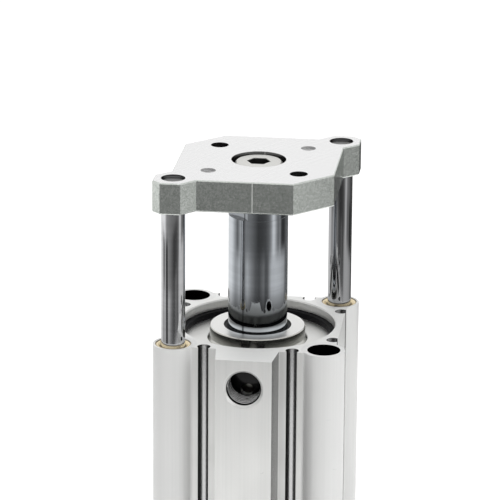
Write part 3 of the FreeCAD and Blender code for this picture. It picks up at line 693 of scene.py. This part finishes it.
def background(tree, strength):
    made = tree.nodes.new("ShaderNodeBackground")
    made.inputs["Color"].default_value = colour(1.0)
    made.inputs["Strength"].default_value = strength
    return made.outputs["Background"]


ROOM_LIGHT = 0.72
world = bpy.data.worlds.new("studio")
world.use_nodes = True
scene.world = world
sky = world.node_tree
sky.nodes.clear()
choice = sky.nodes.new("ShaderNodeMixShader")
sky.links.new(seen_directly(sky), choice.inputs["Fac"])
sky.links.new(background(sky, ROOM_LIGHT), choice.inputs[1])
sky.links.new(background(sky, 1.0), choice.inputs[2])
end = sky.nodes.new("ShaderNodeOutputWorld")
sky.links.new(choice.outputs["Shader"], end.inputs["Surface"])


LAMP_AIM = (0, 0, 0.09)


def softbox(name, place, size, level):
    """A square lamp that gives a face turned to it that level of light."""
    place, aim = Vector(place), Vector(LAMP_AIM)
    lamp = bpy.data.lights.new(name, "AREA")
    lamp.shape = "SQUARE"
    lamp.size = size
    lamp.energy = level * math.pi ** 2 * (place - aim).length_squared
    made = bpy.data.objects.new(name, lamp)
    scene.collection.objects.link(made)
    made.location = place
    made.rotation_mode = "QUATERNION"
    made.rotation_quaternion = (aim - place).to_track_quat("-Z", "Y")
    return made


softbox("lamp_top", (-0.10, 0.05, 1.0), size=0.7, level=0.36).visible_glossy = False
softbox("lamp_left", (-0.85, -0.45, 0.50), size=0.6, level=0.015)
softbox("lamp_right", (0.80, -0.60, 0.45), size=0.6, level=0.27)


def stage_mesh(name, verts, faces, material):
    made = plain_mesh(name, verts, faces, material)
    return made


FLOOR_GLOW = 0.35


def floor_material():
    """Pale and matt; it glows a little where it is looked at, and keeps the shadow."""
    g = Graph("floor_pale")
    g.set(base_color=g.mix(g.noise(30, 2.0), 0.84, 0.86), roughness=0.9)
    glow = g.math("MULTIPLY", seen_directly(g.tree), FLOOR_GLOW)
    g.feed(g.shader.inputs["Emission Color"], colour(1.0))
    g.feed(g.shader.inputs["Emission Strength"], glow)
    return g.material


FLOOR_HALF = 6.0
FLOOR_DROP = 0.02 * MM
floor_z = cad_low.z - FLOOR_DROP
stage_mesh("floor", [(sx * FLOOR_HALF, sy * FLOOR_HALF, floor_z)
                     for sx, sy in ((-1, -1), (1, -1), (1, 1), (-1, 1))], [(0, 1, 2, 3)],
           floor_material())

# The tent: what polished metal sees round it, as a tube seen by glossy rays only. Each table
# below is one ring of it, from the floor up: (azimuth, grey level). Azimuths are in degrees
# from the camera's own, anticlockwise from above, and levels are linear.
TENT_RADIUS = 0.22
TENT_HEIGHT = 0.50
TENT_FOOT = (
    (-180, 0.92), (-122, 0.92), (-97, 0.44), (-86, 0.46), (-76, 0.60), (-67, 0.30), (-62, 0.015),
    (-54, 0.015), (-49, 0.38), (-41, 0.52), (-25, 0.28), (-10, 0.13), (5, 0.09), (21, 0.20),
    (30, 0.10), (38, 0.15), (45, 0.38), (53, 0.60), (71, 0.64), (91, 0.60), (115, 0.45),
    (131, 0.12), (141, 0.10), (165, 0.06), (174, 0.60),
)
TENT_LOW = (
    (-180, 0.92), (-122, 0.92), (-113, 0.80), (-106, 0.58), (-97, 0.38), (-86, 0.15),
    (-77, 0.32), (-71, 0.52), (-67, 0.20), (-62, 0.015), (-54, 0.015), (-49, 0.26), (-29, 0.20),
    (-14, 0.12), (0, 0.055), (14, 0.06), (29, 0.085), (41, 0.16), (49, 0.30), (56, 0.62),
    (61, 0.80), (66, 0.66), (71, 0.44), (81, 0.18), (91, 0.27), (101, 0.05), (115, 0.04),
    (131, 0.12), (141, 0.10), (165, 0.06), (174, 0.60),
)
TENT_MIDDLE = (
    (-180, 0.92), (-80, 0.95), (-70, 0.62), (-60, 0.30), (-29, 0.22), (-14, 0.19), (14, 0.18),
    (29, 0.19), (41, 0.23), (49, 0.36), (56, 0.62), (61, 0.80), (66, 0.76), (71, 0.50),
    (81, 0.30), (91, 0.27), (101, 0.20), (115, 0.10), (141, 0.10), (165, 0.06), (174, 0.60),
)
TENT_UPPER = (
    (-180, 0.95), (-100, 0.92), (-50, 0.74), (0, 0.66), (50, 0.72), (100, 0.90),
)
TENT_CHANGES = ((0.033, 0.042), (0.055, 0.062), (0.10, 0.14))    # where a ring becomes the next
TENT_FLOOR_LEVEL = 0.80
TENT_FADE = (0.011, 0.6)          # the floor's light on the wall: its height and its power


def tent_ramp(g, share, levels):
    """Grey levels round the tent; at most 32 stops."""
    ramp = g.node("ValToRGB", {"Fac": share})
    stops = ramp.color_ramp.elements
    while len(stops) > 1:
        stops.remove(stops[-1])
    stops[0].position = 0.0
    stops[0].color = colour(levels[0][1])
    for degrees, amount in (*levels[1:], (180, levels[0][1])):
        stops.new((degrees + 180) / 360).color = colour(amount)
    return ramp.outputs["Color"]


def tent_material():
    """Light and dark cards round the object: a level for each azimuth and each ring."""
    g = Graph("tent_cards")
    g.tree.nodes.remove(g.shader)
    turn = g.math("SUBTRACT", g.turn(), AZIMUTH)
    share = g.math("FRACT", g.math("MULTIPLY_ADD", turn, 0.5 / math.pi, 0.5))
    wall = tent_ramp(g, share, TENT_FOOT)
    for levels, change in zip((TENT_LOW, TENT_MIDDLE, TENT_UPPER), TENT_CHANGES):
        wall = g.mix(g.rise(g.part("Z"), *change), wall, tent_ramp(g, share, levels))
    height, power = TENT_FADE
    below = g.math("MAXIMUM", g.math("MULTIPLY_ADD", g.part("Z"), -1 / height, 1.0), 0.0)
    tone = g.mix(g.math("POWER", below, power), wall, TENT_FLOOR_LEVEL)
    glow = g.node("Emission", {"Color": tone})
    out = g.tree.nodes["Material Output"]
    g.tree.links.new(glow.outputs["Emission"], out.inputs["Surface"])
    return g.material


TENT_SIDES = 96
ring = [(TENT_RADIUS * math.cos(2 * math.pi * i / TENT_SIDES),
         TENT_RADIUS * math.sin(2 * math.pi * i / TENT_SIDES)) for i in range(TENT_SIDES)]
tent = stage_mesh(
    "tent", [(x, y, floor_z) for x, y in ring] + [(x, y, TENT_HEIGHT) for x, y in ring],
    [(i, (i + 1) % TENT_SIDES, TENT_SIDES + (i + 1) % TENT_SIDES, TENT_SIDES + i)
     for i in range(TENT_SIDES)], tent_material())
tent.visible_camera = False
tent.visible_diffuse = False
tent.visible_transmission = False
tent.visible_volume_scatter = False
tent.visible_shadow = False
